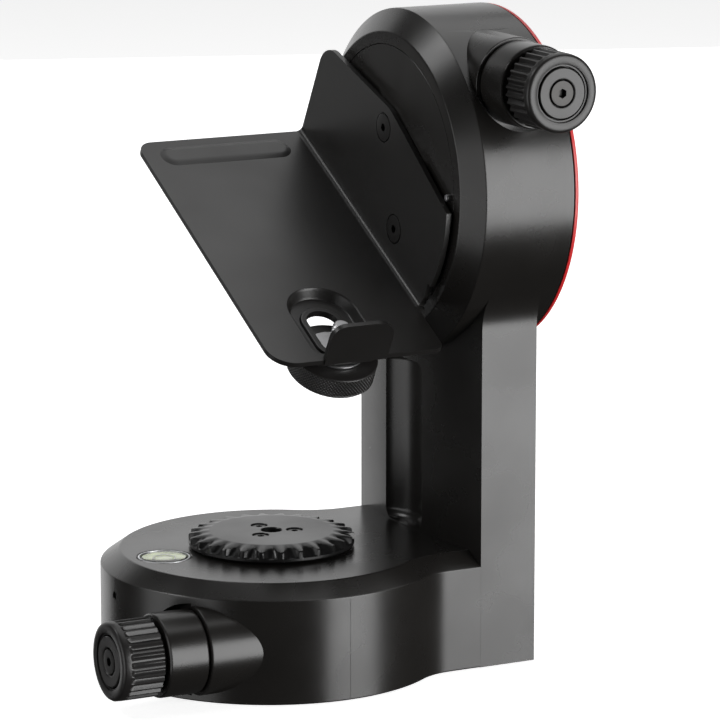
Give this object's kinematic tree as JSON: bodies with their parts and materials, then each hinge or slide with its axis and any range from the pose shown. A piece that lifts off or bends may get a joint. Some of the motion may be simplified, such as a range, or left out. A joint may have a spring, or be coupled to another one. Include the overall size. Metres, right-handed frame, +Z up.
{
  "type": "pan and tilt tripod adapter",
  "caption": "Fine-adjust pan and tilt tripod adapter: round base, column and drum housing, ribbed drive knobs, hand wheel, bubble level and a tilting sheet-metal tray with a sliding clamp.",
  "frame": {"origin": "on the pan axis, at the housing's bottom face, where the tripod's plate meets the base", "axes": "+Z up along the pan axis; +X towards the column and drum, along the tilt axis; -Y towards the operator and the pan knob's side"},
  "size_m": [0.166, 0.1398, 0.2243],
  "materials": {
    "housing_black": "satin black paint on cast aluminium",
    "powder_black": "black powder coat on steel sheet",
    "wheel_black": "black anodised",
    "rubber": "matt",
    "knob_black": "fine satin",
    "screw_black": "black oxide",
    "steel": "turned",
    "brass": "machined",
    "red_cover": "moulded red",
    "aluminium": "turned",
    "level_fluid": "clear yellow-green liquid",
    "level_glass": "clear"
  },
  "bodies": {
    "base": {"housing": "housing_black", "bottom_cover": "rubber", "bottom_screw_1": "screw_black", "bottom_screw_2": "screw_black", "bottom_screw_3": "screw_black", "back_cover": "red_cover", "back_screw_1": "screw_black", "back_screw_2": "screw_black", "back_screw_3": "screw_black", "level_cup": "aluminium", "level_fluid": "level_fluid", "level_bubble": "level_glass", "level_glass": "level_glass", "rim_set_screw": "screw_black", "pan_bush": "brass", "tilt_bush": "brass", "pan_inner_bush": "brass", "pan_sleeve": "housing_black", "tilt_inner_bush": "brass", "tilt_sleeve": "housing_black"},
    "pan_head": {"pan_spindle": "aluminium", "tripod_bush": "steel", "pan_clutch_washer": "steel", "pan_worm_wheel": "brass", "pan_nut": "steel", "hand_wheel": "wheel_black", "wheel_screw_1": "screw_black", "wheel_screw_2": "screw_black", "wheel_screw_3": "screw_black"},
    "pan_drive": {"pan_worm_shaft": "steel", "pan_knob": "knob_black", "pan_knob_cap": "knob_black", "pan_knob_screw": "screw_black", "pan_knob_seal": "rubber"},
    "tilt_head": {"tilt_hub": "housing_black", "hub_index_pin": "steel", "tilt_clutch_washer": "steel", "tilt_worm_wheel": "brass", "tilt_nut": "steel", "tray_bracket": "powder_black", "tray_screw_1": "screw_black", "tray_screw_2": "screw_black"},
    "tilt_drive": {"tilt_worm_shaft": "steel", "tilt_knob": "knob_black", "tilt_knob_cap": "knob_black", "tilt_knob_screw": "screw_black", "tilt_knob_seal": "rubber"},
    "clamp_slider": {"clamp_washer": "steel"},
    "clamp": {"clamp_screw": "steel", "clamp_knob": "knob_black"}
  },
  "joints": [
    {"name": "pan", "type": "hinge", "parent": "base", "child": "pan_head", "pos_m": [0, 0, 0], "axis": [0, 0, 1], "continuous": true},
    {"name": "pan_fine", "type": "hinge", "parent": "base", "child": "pan_drive", "pos_m": [0, -0.0365, 0.0178], "axis": [-1, 0, 0], "continuous": true},
    {"name": "tilt", "type": "hinge", "parent": "base", "child": "tilt_head", "pos_m": [0.045, 0, 0.165], "axis": [1, 0, 0], "range_deg": [-92.5, 61.5]},
    {"name": "tilt_fine", "type": "hinge", "parent": "base", "child": "tilt_drive", "pos_m": [0.069, 0, 0.2034], "axis": [0, -1, 0], "continuous": true},
    {"name": "clamp_slide", "type": "slide", "parent": "tilt_head", "child": "clamp_slider", "axis": [0, 0.8784, 0.4779], "range_m": [-0.0015, 0.013]},
    {"name": "clamp_turn", "type": "hinge", "parent": "clamp_slider", "child": "clamp", "pos_m": [0.006, -0.03485, 0.11189], "axis": [0, -0.4779, 0.8784], "continuous": true}
  ],
  "couplings": [
    {"joint": "pan_fine", "follows": "pan", "ratio": 62},
    {"joint": "tilt_fine", "follows": "tilt", "ratio": -66}
  ]
}
